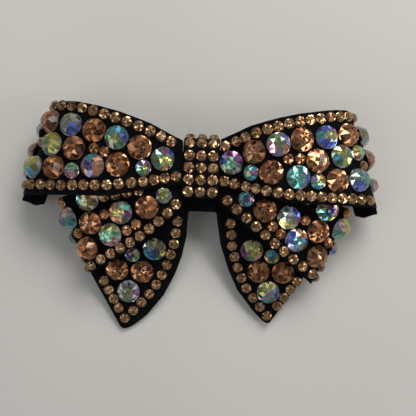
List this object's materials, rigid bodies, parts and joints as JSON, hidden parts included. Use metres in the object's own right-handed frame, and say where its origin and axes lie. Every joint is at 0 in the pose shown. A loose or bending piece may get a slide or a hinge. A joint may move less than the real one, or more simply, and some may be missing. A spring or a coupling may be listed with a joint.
{
  "type": "rhinestone hair clip",
  "caption": "Layered black felt hair bow covered in copper and iridescent flat-back rhinestones, glued to a sprung metal barrette that opens to take hair.",
  "frame": {"origin": "middle of the flat underside of the closed clasp arm, straight under the middle of the centre band; the bow lies on its clasp", "axes": "+X to the wearer's side seen on the right of the front view and along the clasp, +Y up the bow away from the tails, +Z out of the stone-covered front"},
  "size_m": [0.0974, 0.0622, 0.0208],
  "materials": {
    "black_felt": "flocked felt",
    "copper_stone": "foil-backed, faceted",
    "champagne_stone": "foil-backed, faceted",
    "aurora_stone": "foil-backed, faceted, iridescent coating",
    "clip_steel": "nickel-plated spring steel"
  },
  "bodies": {
    "bow": {"upper_loop_left": "black_felt", "upper_loop_right": "black_felt", "lower_loop_left": "black_felt", "lower_loop_right": "black_felt", "tail_panel": "black_felt", "centre_band": "black_felt", "back_pad": "black_felt", "upper_left_edge_stones": "champagne_stone", "upper_right_edge_stones": "champagne_stone", "lower_left_edge_stones": "champagne_stone", "lower_right_edge_stones": "champagne_stone", "tail_left_edge_stones": "champagne_stone", "tail_right_edge_stones": "champagne_stone", "upper_left_copper_stones": "copper_stone", "upper_right_copper_stones": "copper_stone", "lower_left_copper_stones": "copper_stone", "lower_right_copper_stones": "copper_stone", "tail_left_copper_stones": "copper_stone", "tail_right_copper_stones": "copper_stone", "upper_left_crystal_stones": "aurora_stone", "upper_right_crystal_stones": "aurora_stone", "lower_left_crystal_stones": "aurora_stone", "lower_right_crystal_stones": "aurora_stone", "tail_left_crystal_stones": "aurora_stone", "tail_right_crystal_stones": "aurora_stone", "band_stones": "champagne_stone", "base_plate": "clip_steel", "tension_bar": "clip_steel", "bar_rivets": "clip_steel", "hinge_pin": "clip_steel"},
    "clasp": {"clasp_arm": "clip_steel"},
    "upper_ear": {"upper_catch_ear": "clip_steel"},
    "lower_ear": {"lower_catch_ear": "clip_steel"}
  },
  "joints": [
    {"name": "clasp_hinge", "type": "hinge", "parent": "bow", "child": "clasp", "pos_m": [-0.029, 0, 0.0015], "axis": [0, 1, 0], "range_deg": [0, 85]},
    {"name": "upper_ear_squeeze", "type": "hinge", "parent": "bow", "child": "upper_ear", "pos_m": [0.028, 0.00165, 0.0051], "axis": [-1, 0, 0], "range_deg": [0, 7], "stiffness_Nm_per_rad": 0.01},
    {"name": "lower_ear_squeeze", "type": "hinge", "parent": "bow", "child": "lower_ear", "pos_m": [0.028, -0.00165, 0.0051], "axis": [1, 0, 0], "range_deg": [0, 7], "stiffness_Nm_per_rad": 0.01}
  ],
  "couplings": [
    {"joint": "lower_ear_squeeze", "follows": "upper_ear_squeeze", "ratio": 1}
  ]
}
